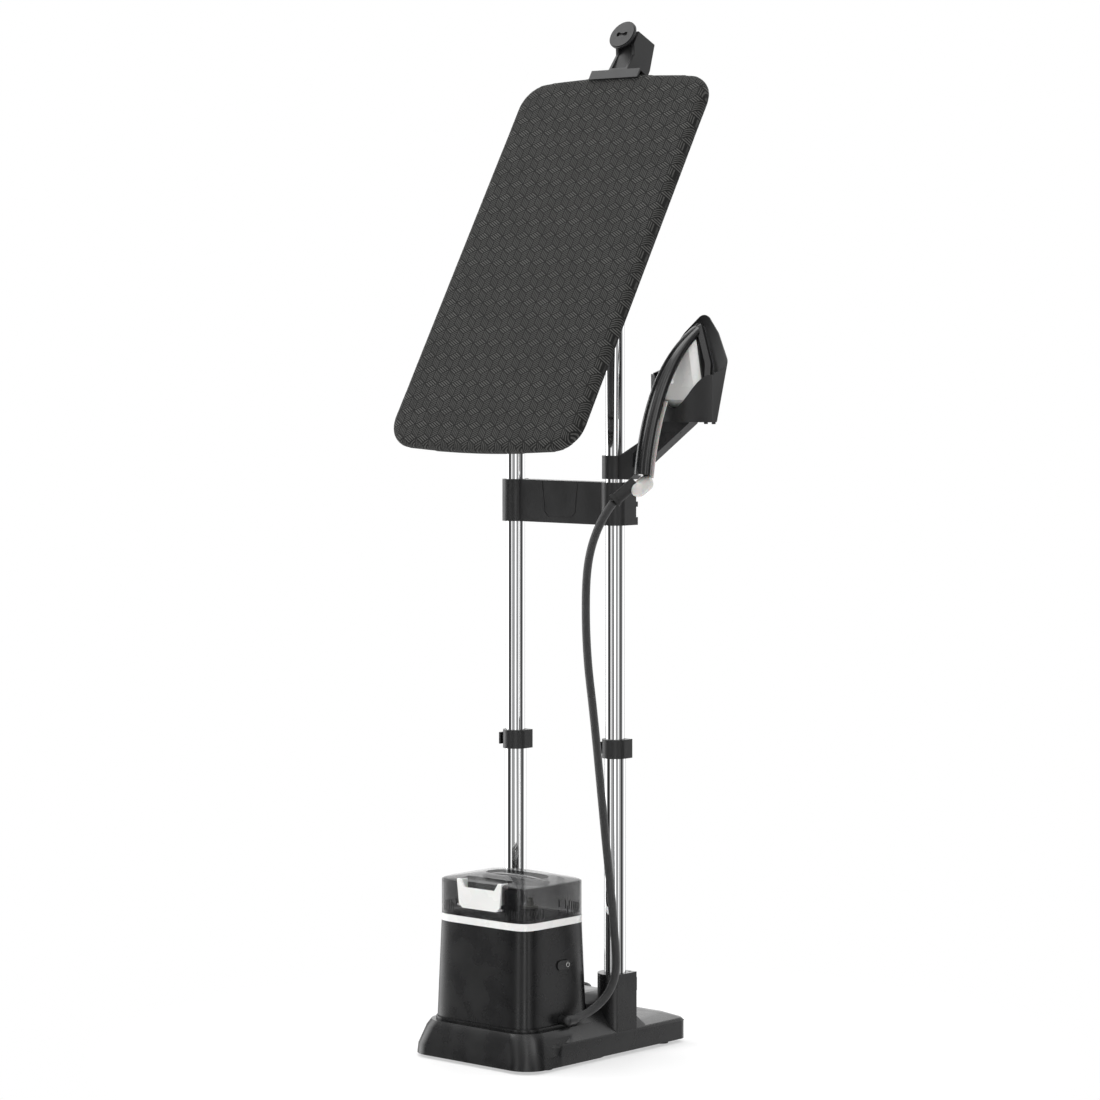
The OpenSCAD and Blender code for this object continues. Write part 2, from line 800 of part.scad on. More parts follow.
// Rounded rectangle whose two ends bow out by bow
function plan_board(x, z0, z1, r, bow) = concat(
    arc([x - r, z1 - bow - r], r, 0, 82), bow_end(x - r, z1 - bow, bow, 1),
    arc([r - x, z1 - bow - r], r, 98, 180),
    arc([r - x, z0 + bow + r], r, 180, 262), bow_end(x - r, z0 + bow, -bow, -1),
    arc([x - r, z0 + bow + r], r, 278, 360));

function bow_end(x, z, bow, dir) = [for (i = [1 : 11])
    let (t = 1 - i / 6) [dir * x * t, z + bow * (1 - t * t)]];

module board_cover() {
    color("#2b2b2b") on_board() difference() {
        standing(-board_front, -board_rear) polygon(board_plan(0));
        standing(1.4 - board_front, -board_rear - 1.2) polygon(board_plan(1.4));
        standing(-board_front + 5, 0) polygon(board_plan(34));
    }
}

module board_pad() {
    color("#cfcac0") on_board() standing(1.6 - board_front, -37.2) polygon(board_plan(core_inset));
}

module board_frame() {
    color("#1d1d1e") on_board() difference() {
        standing(-37, -board_rear - 1.4) polygon(board_plan(core_inset));
        for (x = [-1 : 1], z = [-2 : 2]) translate([x * 118, 0, z * 122 + 22])
            box(-54, 54, -34, 0, -56, 56);
    }
}

module board_lugs() {
    color("#202021") on_board() for (side = [-1, 1], inner = [-1, 1])
        translate([side * px + inner * 15.5, 0, 0]) difference() {
            union() {
                rod_x(11, -2.5, 2.5);
                box(-2.5, 2.5, -board_rear - 1.4, 0, -11, 11);
                box(-2.5, 2.5, -board_rear - 1.4, -board_rear + 3, -40, 40);
            }
            rod_x(shaft_r, -far, far);
        }
}

// ---------- hanger hook ----------

hook_half = 51;         // half width of the foot
foot_z = board_up - 13;
disc_z = board_up + 61;

module hook_foot() {
    color("#1a1a1b") on_board() translate([hook_x, 0, 0]) {
        box(-hook_half, hook_half, -board_front - 3.4, -board_front - gap, foot_z, board_up + 3.5);
        box(-hook_half, hook_half, -board_front - 3.4, -board_rear, board_up + gap, board_up + 3.5);
    }
}

// The post stands on the top edge of the board and reaches down behind it
module hook_post() {
    side = [[-51, 3.5 + gap], [-47, 36], [-56, 50], [-56, 74], [-12, 77], [-1, 34], [0, -24],
        [-28.4, -24], [-28.4, 3.5 + gap]];
    color("#202021") on_board() translate([hook_x, 0, board_up]) difference() {
        rotate([90, 0, 90]) translate([0, 0, -19.5]) linear_extrude(height = 39) polygon(side);
        box(-14, 14, -60, -46, 9, 70.5);
    }
}

module hook_disc() {
    color("#161617") on_board() translate([hook_x - 1, 0, disc_z]) difference() {
        union() {
            rod_y(8, -63, -46);
            rod_y(23, -69, -63);
            rod_y(25, -67.5, -64.5);
        }
        for (x = [-7, 7]) translate([x, 0, 0]) rod_y(4, -70, -66);
        box(-7, 7, -70, -66, -2, 2);
    }
}

// ---------- steam head ----------

// Outline of the sole: a rounded tip at the top and a broad round heel
module sole_plan(grow) {
    hull() {
        translate([0, 70]) circle(r = 7 + grow, $fn = 32);
        for (x = [-1, 1]) translate([x * 18, 8]) circle(r = 20 + grow, $fn = 32);
        for (x = [-1, 1]) translate([x * 20, -42]) circle(r = 26 + grow, $fn = 32);
    }
}

module dome_plan(grow) {
    hull() {
        translate([0, 44]) circle(r = 6 + grow, $fn = 32);
        for (x = [-1, 1]) translate([x * 18, -36]) circle(r = 18 + grow, $fn = 32);
    }
}

module soleplate() {
    color("#8d9094") on_head() standing(-7, -3.4) sole_plan(0);
}

module head_skirt() {
    color("#161617") on_head() hull() {
        standing(-13, -7.2) sole_plan(1);
        standing(-18, -17) sole_plan(-6);
    }
}

module head_body() {
    color("#ececea") on_head() hull() {
        standing(-20, -18.2) dome_plan(2);
        standing(-26, -25) dome_plan(-1);
        standing(-30.5, -30) dome_plan(-5.9);
    }
}

// Centre line of the bowed handle, from the tip of the head down to its free end
handle_path = [[[head_x, 31, 1118], [head_x, -39, 1078], [head_x, -84, 1012], [head_x, -101, 899]]];
handle_steps = 20;

// Frame of the trigger: local +Y points from the handle to the head
module at_trigger() {
    translate([head_x, -47.7, 1045.5]) rotate([-34.8, 0, 0]) children();
}

module head_handle() {
    color("#141415") difference() {
        sweep(curve(handle_path, handle_steps), 14, 10.5, 20, [1, 0, 0], 0.35);
        at_trigger() box(-5.4, 5.4, 0, 30, -16.4, 16.4);
        on_head() standing(-18.2, 10) offset(delta = gap, $fn = 32) sole_plan(1);
    }
}

module steam_trigger() {
    color("#ececea") at_trigger() {
        box(-5, 5, 3.4, 12, -16, 16);
        translate([0, 12, 0]) rod_x(4, -5, 5);
    }
}

module handle_liner() {
    color("#ececea") {
        sweep([for (p = curve(handle_path, handle_steps)) if (p[2] < 1022) p + [0, 13, -5]],
            11, 2, 16);
        hull() for (end = [[-94, 886], [-110, 878]])
            translate([head_x, end[0], end[1]]) sphere(r = 12, $fn = 32);
    }
}

module hose_cuff() {
    cuff_dir = [-0.55, -0.5, -0.67];
    color("#121213") translate([head_x - 5, -111, 889])
        rotate([0, acos(cuff_dir[2] / norm(cuff_dir)), atan2(cuff_dir[1], cuff_dir[0])]) {
            cylinder(r = 9, h = 43);
            translate([0, 0, 38]) cylinder(r = 11, h = 5);
        }
}

module upper_hose() {
    color("#1f1f20") sweep(curve(upper_hose_path, 10), hose_r, hose_r, 14, [0.3, 0.9, 0.3]);
}

// ---------- assembly ----------
translate(-middle) base_cover();
translate(-middle) base_plate();
translate(-middle) base_feet();
translate(-middle) base_screws();
translate(-middle) left_socket();
translate(-middle) right_socket();
translate(-middle) lower_left_pole();
translate(-middle) lower_right_pole();
translate(-middle) pole_bushes();
translate(-middle) left_clamp();
translate(-middle) right_clamp();
translate(-middle) clamp_pins();
translate(-middle) left_clamp_lever();
translate(-middle) right_clamp_lever();
translate(-middle) generator_housing();
translate(-middle) trim_band();
translate(-middle) tank_tray();
translate(-middle) valve_seal();
translate(-middle) pump();
translate(-middle) boiler();
translate(-middle) control_board();
translate(-middle) power_button();
translate(-middle) hose_connector();
translate(-middle) lower_hose();
translate(-middle) cord_grommet();
translate(-middle) mains_cord();
translate(-middle) water_tank();
translate(-middle) tank_lid();
translate(-middle) tank_handle();
translate(-middle) tank_valve();
translate(-middle) fill_flap();
translate(-middle) flap_pin();
translate(-middle) upper_left_pole();
translate(-middle) upper_right_pole();
translate(-middle) pole_plugs();
translate(-middle) crossbar();
translate(-middle) crossbar_back();
translate(-middle) crossbar_screws();
translate(-middle) holder_arm();
translate(-middle) holder_cradle();
translate(-middle) holder_screws();
translate(-middle) left_hinge_head();
translate(-middle) right_hinge_head();
translate(-middle) tilt_shaft();
translate(-middle) tilt_knob();
translate(-middle) board_lugs();
translate(-middle) board_frame();
translate(-middle) board_pad();
translate(-middle) board_cover();
translate(-middle) hook_foot();
translate(-middle) hook_post();
translate(-middle) hook_disc();
translate(-middle) head_handle();
translate(-middle) handle_liner();
translate(-middle) head_body();
translate(-middle) head_skirt();
translate(-middle) soleplate();
translate(-middle) steam_trigger();
translate(-middle) hose_cuff();
translate(-middle) upper_hose();
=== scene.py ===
"""Upright garment steam station: the looks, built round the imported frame.

Metres, +Z up, -Y is the user's side.
"""
import json
import math

import bmesh
import bpy
import numpy as np
from mathutils import Matrix, Vector


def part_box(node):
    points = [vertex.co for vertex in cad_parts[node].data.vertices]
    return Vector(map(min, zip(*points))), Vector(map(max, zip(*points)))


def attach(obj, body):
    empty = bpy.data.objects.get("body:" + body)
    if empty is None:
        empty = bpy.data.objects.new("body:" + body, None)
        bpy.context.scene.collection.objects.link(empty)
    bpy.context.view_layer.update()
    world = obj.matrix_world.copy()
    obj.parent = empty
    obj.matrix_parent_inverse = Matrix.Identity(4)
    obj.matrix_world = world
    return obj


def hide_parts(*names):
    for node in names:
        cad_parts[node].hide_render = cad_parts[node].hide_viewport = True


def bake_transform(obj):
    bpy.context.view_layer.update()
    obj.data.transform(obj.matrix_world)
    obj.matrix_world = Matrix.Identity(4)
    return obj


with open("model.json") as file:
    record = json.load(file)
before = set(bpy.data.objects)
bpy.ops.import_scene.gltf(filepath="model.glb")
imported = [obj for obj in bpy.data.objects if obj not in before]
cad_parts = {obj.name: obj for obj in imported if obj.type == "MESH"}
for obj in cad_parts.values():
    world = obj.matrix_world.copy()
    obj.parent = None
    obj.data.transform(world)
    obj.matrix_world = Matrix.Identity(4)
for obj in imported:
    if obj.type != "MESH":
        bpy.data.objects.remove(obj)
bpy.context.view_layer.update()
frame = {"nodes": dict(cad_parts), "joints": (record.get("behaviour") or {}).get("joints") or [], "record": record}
nodes = frame["nodes"]
joints = {joint["name"]: joint for joint in frame["joints"]}
MM = 0.001

# The board's own frame: x across, y from front to back, z up the slope
LEAN = math.radians(30)
TILT_AXIS = Vector(joints["board_tilt"]["pos_m"])
BOARD = Matrix.Translation(TILT_AXIS) @ Matrix.Rotation(-LEAN, 4, "X")


def in_board(node):
    """Lowest and highest corner of a node in the board's own frame."""
    back = BOARD.inverted()
    points = np.array([back @ v.co for v in nodes[node].data.vertices])
    return points.min(0), points.max(0)


# ---------- materials ----------

class Graph:
    """A material's node tree, with short calls for the nodes that are used here."""

    def __init__(self, tree, where="Object"):
        self.tree = tree
        tree.nodes.clear()
        self.where = self.add("ShaderNodeTexCoord").outputs[where]

    def add(self, kind, **settings):
        node = self.tree.nodes.new(kind)
        for key, value in settings.items():
            setattr(node, key, value)
        return node

    def put(self, target, value):
        if isinstance(value, bpy.types.NodeSocket):
            self.tree.links.new(value, target)
        else:
            target.default_value = value

    def math(self, operation, *values):
        node = self.add("ShaderNodeMath", operation=operation)
        for target, value in zip(node.inputs, values):
            self.put(target, value)
        return node.outputs[0]

    def smooth(self, value, low, high, out_low=0.0, out_high=1.0):
        """value eased from out_low at low to out_high at high."""
        node = self.add("ShaderNodeMapRange", interpolation_type="SMOOTHSTEP")
        for target, item in zip(node.inputs, (value, low, high, out_low, out_high)):
            self.put(target, item)
        return node.outputs[0]

    def noise(self, scale, detail=2.0, stretch=(1, 1, 1)):
        mapping = self.add("ShaderNodeMapping")
        mapping.inputs["Scale"].default_value = stretch
        self.put(mapping.inputs["Vector"], self.where)
        node = self.add("ShaderNodeTexNoise")
        node.inputs["Scale"].default_value = scale
        node.inputs["Detail"].default_value = detail
        self.put(node.inputs["Vector"], mapping.outputs[0])
        return node.outputs["Fac"]

    def mix(self, factor, dark, light):
        node = self.add("ShaderNodeMix", data_type="RGBA")
        self.put(node.inputs["Factor"], factor)
        for name, value in (("A", dark), ("B", light)):
            target = next(s for s in node.inputs if s.name == name and s.type == "RGBA")
            self.put(target, value if isinstance(value, bpy.types.NodeSocket) else (*value, 1))
        return next(s for s in node.outputs if s.type == "RGBA")

    def bump(self, height, depth, normal=None):
        node = self.add("ShaderNodeBump")
        node.inputs["Distance"].default_value = depth
        self.put(node.inputs["Height"], height)
        if normal is not None:
            self.put(node.inputs["Normal"], normal)
        return node.outputs[0]

    def place(self):
        """x, y and z of the point in the object's own space."""
        node = self.add("ShaderNodeSeparateXYZ")
        self.put(node.inputs[0], self.where)
        return node.outputs


def surface(name, build):
    """A material whose Principled shader is set up by build(graph, shader)."""
    material = bpy.data.materials.new(name)
    material.use_nodes = True
    graph = Graph(material.node_tree)
    shader = graph.add("ShaderNodeBsdfPrincipled")
    output = graph.add("ShaderNodeOutputMaterial")
    graph.put(output.inputs["Surface"], shader.outputs[0])
    build(graph, shader)
    return material


PLASTIC_DARK, PLASTIC_LIGHT = 0.82, 1.14    # darkest and lightest patches, over its colour
SINK_DEPTH = 0.12 * MM                      # of the slow waves that moulding leaves
COAT_ROUGHNESS = 0.08
METAL_DARK = 0.94                           # darkest patches of a metal, over its colour
SMUDGED = 1.8                               # roughness of a smudge, over the clean metal's


def plastic(name, colour, roughness, grain=0.02 * MM, grain_scale=1600,
            coat=0.0, spread=0.05, **more):
    """Moulded plastic: fine grain, slow sink marks, and roughness that varies in patches."""
    def build(g, shader):
        handled = g.noise(9, 4)
        fine = g.noise(grain_scale, 2)
        dark = [c * PLASTIC_DARK for c in colour]
        light = [min(1, c * PLASTIC_LIGHT) for c in colour]
        g.put(shader.inputs["Base Color"], g.mix(handled, dark, light))
        g.put(shader.inputs["Roughness"],
              g.smooth(g.noise(26, 5), 0.3, 0.7, roughness - spread, roughness + spread))
        sink = g.bump(g.noise(14, 1), SINK_DEPTH)
        g.put(shader.inputs["Normal"], g.bump(fine, grain, sink))
        shader.inputs["Coat Weight"].default_value = coat
        shader.inputs["Coat Roughness"].default_value = COAT_ROUGHNESS
        for key, value in more.items():
            shader.inputs[key.replace("_", " ")].default_value = value
    return surface(name, build)


def metal(name, colour, roughness, brushed=0.0, stretch=(1, 1, 0.02)):
    """Plated or drawn metal: faint draw lines along it, smudges in its roughness."""
    def build(g, shader):
        lines = g.noise(900, 3, stretch)
        smudge = g.noise(18, 5)
        g.put(shader.inputs["Base Color"], g.mix(smudge, [c * METAL_DARK for c in colour], colour))
        g.put(shader.inputs["Roughness"],
              g.smooth(smudge, 0.35, 0.75, roughness, roughness * SMUDGED))
        g.put(shader.inputs["Normal"], g.bump(lines, brushed))
        shader.inputs["Metallic"].default_value = 1
    return surface(name, build)


def smoked(name, colour, alpha, roughness=0.1, spread=0.05):
    """Smoked clear plastic, seen through, with flow lines from the mould."""
    def build(g, shader):
        flow = g.noise(22, 3, (1, 1, 0.3))
        g.put(shader.inputs["Base Color"], g.mix(flow, [c * 0.8 for c in colour], colour))
        g.put(shader.inputs["Alpha"], g.smooth(flow, 0.2, 0.8, alpha - spread, alpha + spread))
        g.put(shader.inputs["Roughness"],
              g.smooth(g.noise(30, 4), 0.3, 0.7, roughness, roughness * 2))
        g.put(shader.inputs["Normal"], g.bump(g.noise(10, 1), 0.2 * MM))
        shader.inputs["IOR"].default_value = 1.5
    return surface(name, build)


BLOCK = 28 * MM             # width of one block of the woven pattern
DASH = BLOCK / 8            # pitch of the dashes in a block
DASH_START = 0.7 * MM       # where a dash starts, from the edge of its rhombus
DASH_FULL = 2.0 * MM        # where it has its full height
THREAD = 0.62 * MM          # pitch of the cloth's threads
BLOCKS_ON, DASHES_ON = 100.0, 50    # whole steps added, which keep every value positive
GROUND = (0.006, 0.006, 0.0058), (0.017, 0.017, 0.0164)
DASH_COLOUR = (0.088, 0.088, 0.084)
SIDE_SHADE = 0.72            # brightness of the sideways rhombi, over that of the top one


def block_fabric(name, patterned=True):
    """Charcoal cloth with tumbling blocks.

    Each hexagon holds three rhombi, and each rhombus is filled with dashes along one of its edges.
    """
    def build(g, shader):
        turn = g.add("ShaderNodeVectorRotate", rotation_type="X_AXIS")
        turn.inputs["Center"].default_value = TILT_AXIS
        turn.inputs["Angle"].default_value = LEAN
        g.put(turn.inputs["Vector"], g.where)
        apart = g.add("ShaderNodeSeparateXYZ")
        g.put(apart.inputs[0], turn.outputs[0])
        wave = g.noise(12, 2)
        wobble = g.math("MULTIPLY", g.math("SUBTRACT", wave, 0.5), 1.2 * MM)
        u = g.math("ADD", g.math("SUBTRACT", apart.outputs[0], TILT_AXIS.x), wobble)
        v = g.math("ADD", apart.outputs[2], wobble)

        # The hexagon that holds the point: the nearer centre of two rectangular grids
        high = BLOCK * math.sqrt(3)

        def cell(value, pitch, shift):
            part = g.math("FRACT", g.math("ADD", g.math("DIVIDE", value, pitch), shift))
            return g.math("MULTIPLY", g.math("SUBTRACT", part, 0.5), pitch)

        first = cell(u, BLOCK, BLOCKS_ON), cell(v, high, BLOCKS_ON)
        second = cell(u, BLOCK, BLOCKS_ON + 0.5), cell(v, high, BLOCKS_ON + 0.5)

        def square(pair):
            return g.math("ADD", g.math("MULTIPLY", pair[0], pair[0]),
                          g.math("MULTIPLY", pair[1], pair[1]))

        nearer = g.math("LESS_THAN", square(second), square(first))

        def choose(test, low, high_value):
            return g.math("ADD", g.math("MULTIPLY", test, high_value),
                          g.math("MULTIPLY", g.math("SUBTRACT", 1.0, test), low))

        p = choose(nearer, first[0], second[0])
        q = choose(nearer, first[1], second[1])
        rise = g.math("MULTIPLY", q, math.sqrt(3) / 2)
        half = g.math("MULTIPLY", p, 0.5)
        a = g.math("ADD", half, rise)
        b = g.math("SUBTRACT", rise, half)
        top = g.math("MULTIPLY", g.math("GREATER_THAN", a, 0.0), g.math("GREATER_THAN", b, 0.0))
        right = g.math("MULTIPLY", g.math("GREATER_THAN", p, 0.0), g.math("LESS_THAN", b, 0.0))

        # across runs over the dashes of a rhombus and along runs down them, from 0 to half a block
        across = choose(top, choose(right, g.math("MULTIPLY", p, -1.0),
                                    g.math("MULTIPLY", b, -1.0)), a)
        along = choose(top, choose(right, g.math("MULTIPLY", a, -1.0), p), b)
        ripple = g.math("PINGPONG", g.math("ADD", across, DASH * DASHES_ON), DASH / 2)
        ridge = g.smooth(ripple, DASH * 0.20, DASH * 0.34)
        ends = g.math("MULTIPLY", g.smooth(along, DASH_START, DASH_FULL),
                      g.smooth(along, BLOCK / 2 - DASH_START, BLOCK / 2 - DASH_FULL))
        dash = g.math("MULTIPLY", ridge, ends)

        thread = g.math("MULTIPLY", g.math("SINE", g.math("MULTIPLY", u, 2 * math.pi / THREAD)),
                        g.math("SINE", g.math("MULTIPLY", v, 2 * math.pi / THREAD)))
        fuzz = g.noise(1500, 3)
        patch = g.noise(30, 3)
        ground = g.mix(g.math("MULTIPLY_ADD", thread, 0.2, fuzz), *GROUND)
        if patterned:
            bright = choose(top, SIDE_SHADE, 1.0)
            level = g.math("MULTIPLY", g.math("MULTIPLY", dash, bright),
                           g.smooth(patch, 0.2, 0.8, 0.7, 1.0))
            colour = g.mix(level, ground, DASH_COLOUR)
            relief = g.math("MULTIPLY_ADD", dash, 0.8, g.math("MULTIPLY", thread, 0.18))
        else:
            colour, relief = ground, g.math("MULTIPLY", thread, 0.4)
        g.put(shader.inputs["Base Color"], colour)
        g.put(shader.inputs["Normal"], g.bump(relief, 0.35 * MM, g.bump(fuzz, 0.05 * MM)))
        g.put(shader.inputs["Roughness"], g.smooth(fuzz, 0.2, 0.8, 0.75, 0.95))
        shader.inputs["Sheen Weight"].default_value = 0.04
        shader.inputs["Sheen Roughness"].default_value = 0.5
        shader.inputs["Specular IOR Level"].default_value = 0.15
    return surface(name, build)


BRAID = 2.2 * MM            # pitch of the hose sleeve's braid


def sleeve(name, colour):
    """Woven sleeve of the steam hose: a fine diagonal braid over a soft sheen."""
    def build(g, shader):
        x, y, z = g.place()[:3]
        pitch = 2 * math.pi / BRAID
        turn = g.math("MULTIPLY", g.math("ADD", x, y), pitch)
        rise = g.math("MULTIPLY", z, pitch)
        braid = g.math("MULTIPLY", g.math("SINE", g.math("ADD", turn, rise)),
                       g.math("SINE", g.math("SUBTRACT", turn, rise)))
        tone = g.math("MULTIPLY_ADD", braid, 0.3, g.noise(40, 3))
        g.put(shader.inputs["Base Color"],
              g.mix(tone, [c * 0.6 for c in colour], [c * 1.3 for c in colour]))
        g.put(shader.inputs["Normal"], g.bump(braid, 0.12 * MM))
        g.put(shader.inputs["Roughness"], g.smooth(tone, 0.2, 0.9, 0.42, 0.6))
        shader.inputs["Sheen Weight"].default_value = 0.15
    return surface(name, build)


def laminate(name):
    """Green circuit board with faint copper tracks under the lacquer."""
    def build(g, shader):
        brick = g.add("ShaderNodeTexBrick")
        brick.inputs["Scale"].default_value = 90
        brick.inputs["Mortar Size"].default_value = 0.03
        g.put(brick.inputs["Vector"], g.where)
        tracks = g.math("MULTIPLY", brick.outputs["Fac"], 0.6)
        g.put(shader.inputs["Base Color"], g.mix(tracks, (0.012, 0.09, 0.03), (0.05, 0.2, 0.07)))
        g.put(shader.inputs["Normal"], g.bump(tracks, 0.05 * MM))
        g.put(shader.inputs["Roughness"], g.smooth(g.noise(60, 3), 0.3, 0.7, 0.25, 0.45))
    return surface(name, build)


MATERIALS = {
    "black_shell": plastic("black_shell", (0.009, 0.009, 0.0094), 0.28, 0.012 * MM, 2200),
    "black_plastic": plastic("black_plastic", (0.013, 0.013, 0.0134), 0.38, 0.03 * MM, 1500),
    "head_plastic": plastic("head_plastic", (0.007, 0.007, 0.0073), 0.24, 0.006 * MM, 2500,
                            coat=0.3),
    "rubber": plastic("rubber", (0.012, 0.012, 0.012), 0.62, 0.04 * MM, 1300),
    "hose": sleeve("hose", (0.022, 0.022, 0.0226)),
    "white_plastic": plastic("white_plastic", (0.80, 0.80, 0.785), 0.26, 0.008 * MM, 2000, coat=0.2,
                             Subsurface_Weight=0.08, Subsurface_Scale=0.004),
    "natural_plastic": plastic("natural_plastic", (0.62, 0.62, 0.58), 0.42),
    "chrome": metal("chrome", (0.90, 0.905, 0.91), 0.035, 0.002 * MM),
    "steel": metal("steel", (0.60, 0.60, 0.61), 0.22, 0.01 * MM),
    "sole": metal("sole", (0.62, 0.63, 0.64), 0.24, 0.01 * MM, (0.05, 1, 1)),
    "tank": smoked("tank", (0.014, 0.014, 0.015), 0.50),
    "board_fabric": block_fabric("board_fabric"),
    "felt": plastic("felt", (0.58, 0.55, 0.49), 0.92, 0.25 * MM, 500),
    "seal_rubber": plastic("seal_rubber", (0.42, 0.07, 0.03), 0.5),
    "pump_plastic": plastic("pump_plastic", (0.55, 0.42, 0.25), 0.4),
    "boiler_metal": metal("boiler_metal", (0.55, 0.56, 0.57), 0.38, 0.06 * MM, (1, 1, 1)),
    "circuit_board": laminate("circuit_board"),
}
HEM = block_fabric("hem_fabric", patterned=False)
MARK = plastic("mark_print", (0.62, 0.62, 0.60), 0.35)
LINER = plastic("grip_liner", (0.60, 0.59, 0.57), 0.24, 0.004 * MM, 2000, coat=0.2,
                Subsurface_Weight=0.25, Subsurface_Scale=0.006)
RIB = plastic("tank_rib", (0.16, 0.16, 0.16), 0.3)
OWN_MATERIAL = {"handle_liner": LINER}


# ---------- carried CAD nodes ----------

SLOT_OF = {row["node"]: row["material_slot"] for row in frame["record"]["subparts"]}
BEVEL = {                   # edge radius of the moulded nodes, in millimetres
    "base_cover": 1.6, "generator_housing": 1.0, "left_socket": 1.2, "right_socket": 1.2,
    "crossbar": 1.0, "holder_arm": 1.0, "holder_cradle": 0.9, "left_clamp": 0.9,
    "right_clamp": 0.9, "left_clamp_lever": 0.8, "right_clamp_lever": 0.8,
    "left_hinge_head": 1.2, "right_hinge_head": 1.2,
    "tank_lid": 0.8, "water_tank": 0.5, "fill_flap": 0.7, "hook_foot": 0.8, "hook_post": 1.8,
    "hook_disc": 0.8, "soleplate": 0.5, "head_skirt": 1.2, "trim_band": 0.5, "power_button": 0.6,
}
DEFAULT_BEVEL = 0.35
SMOOTH_ANGLE = math.radians(32)


def round_edges(piece, width):
    """Welds a shell, rounds its sharp edges and keeps its large faces flat in the shading."""
    weld = piece.modifiers.new("weld", "WELD")
    weld.merge_threshold = 0.002 * MM
    bevel = piece.modifiers.new("edges", "BEVEL")
    bevel.width = width * MM
    bevel.segments = 3
    bevel.limit_method = "ANGLE"
    bevel.angle_limit = SMOOTH_ANGLE
    bevel.use_clamp_overlap = True
    normals = piece.modifiers.new("normals", "WEIGHTED_NORMAL")
    normals.keep_sharp = False


def set_smooth(mesh):
    mesh.polygons.foreach_set("use_smooth", [True] * len(mesh.polygons))


def dress(piece, material):
    piece.data.materials.clear()
    piece.data.materials.append(material)


def dress_cad_nodes():
    for name, piece in nodes.items():
        dress(piece, OWN_MATERIAL.get(name, MATERIALS[SLOT_OF[name]]))
        set_smooth(piece.data)
        piece.data.update()
        round_edges(piece, BEVEL.get(name, DEFAULT_BEVEL))


# ---------- new pieces ----------

def make(name, points, faces, material, body=None, smooth=True):
    """A mesh piece from points and faces, in the row frame."""
    mesh = bpy.data.meshes.new(name)
    mesh.from_pydata([tuple(p) for p in points], [], faces)
    mesh.validate()
    mesh.update()
    fix = bmesh.new()
    fix.from_mesh(mesh)
    bmesh.ops.recalc_face_normals(fix, faces=fix.faces)
    fix.to_mesh(mesh)
    fix.free()
    piece = bpy.data.objects.new(name, mesh)
    bpy.context.scene.collection.objects.link(piece)
    if smooth:
        set_smooth(mesh)
    dress(piece, material)
    if body:
        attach(piece, body)
    return piece


def apply_modifiers(piece):
    """The piece's mesh with its modifiers applied."""
    graph = bpy.context.evaluated_depsgraph_get()
    mesh = bpy.data.meshes.new_from_object(piece.evaluated_get(graph))
    piece.modifiers.clear()
    piece.data = mesh
    return piece


def tube_mesh(path, radius, sides=24):
    """Points and faces of a closed round tube along a path."""
    points, faces = [], []
    side = Vector((0.3, 0.9, 0.3))
    for i, centre in enumerate(path):
        ahead = (path[min(i + 1, len(path) - 1)] - path[max(i - 1, 0)]).normalized()
        across = side.cross(ahead).normalized()
        up = ahead.cross(across)
        r = radius(i) if callable(radius) else radius
        for k in range(sides):
            turn = 2 * math.pi * k / sides
            points.append(centre + (across * math.cos(turn) + up * math.sin(turn)) * r)
    for i in range(len(path) - 1):
        for k in range(sides):
            a, b = i * sides + k, i * sides + (k + 1) % sides
            faces.append((a, b, b + sides, a + sides))
    faces.append(tuple(range(sides - 1, -1, -1)))
    faces.append(tuple(len(path) * sides - sides + k for k in range(sides)))
    return points, faces


HOSE_RADIUS = 6.25 * MM
HOSE_STEP = 4 * MM          # between the rings of the hose
HOSE_SPLIT = 560 * MM       # height at which its two pieces meet
HOSE_EASING = 40            # smoothing passes over its path
HOSE_PARTS = (              # piece, node it replaces, bodies it joins, heights of its bend
    ("steam_hose_lower", "lower_hose", ("base", "mast"), (150 * MM, 540 * MM)),
    ("steam_hose_upper", "upper_hose", ("mast", "steam_head"), (580 * MM, 850 * MM)),
)


def centreline(node, start):
    """Middle points of a swept node's rings, walked over its edges from the end near start."""
    shell = bmesh.new()
    shell.from_mesh(nodes[node].data)
    bmesh.ops.remove_doubles(shell, verts=shell.verts, dist=0.01 * MM)
    first = min(shell.verts, key=lambda v: (v.co - start).length)
    middle = sum((v.co for v in shell.verts), Vector()) / len(shell.verts)
    outward = (first.co - middle).normalized()
    end_face = max(first.link_faces, key=lambda f: abs(f.normal.dot(outward)))
    ring = {v for v in shell.verts if abs((v.co - first.co).dot(end_face.normal)) < 0.05 * MM
            and (v.co - first.co).length < 30 * MM}
    seen, middles = set(ring), []
    while ring:
        middles.append(sum((v.co for v in ring), Vector()) / len(ring))
        ring = {e.other_vert(v) for v in ring for e in v.link_edges} - seen
        seen |= ring
    shell.free()
    return middles


def resample(path, step):
    """Points at an even step along a smooth curve through the path."""
    points = np.array(path)
    length = np.concatenate([[0], np.cumsum(np.linalg.norm(np.diff(points, axis=0), axis=1))])
    count = max(2, int(length[-1] / step))
    at = np.linspace(0, length[-1], count)
    even = np.stack([np.interp(at, length, points[:, k]) for k in range(3)], 1)
    for _ in range(HOSE_EASING):
        even[1:-1] = (even[:-2] + 2 * even[1:-1] + even[2:]) / 4
    return [Vector(p) for p in even]


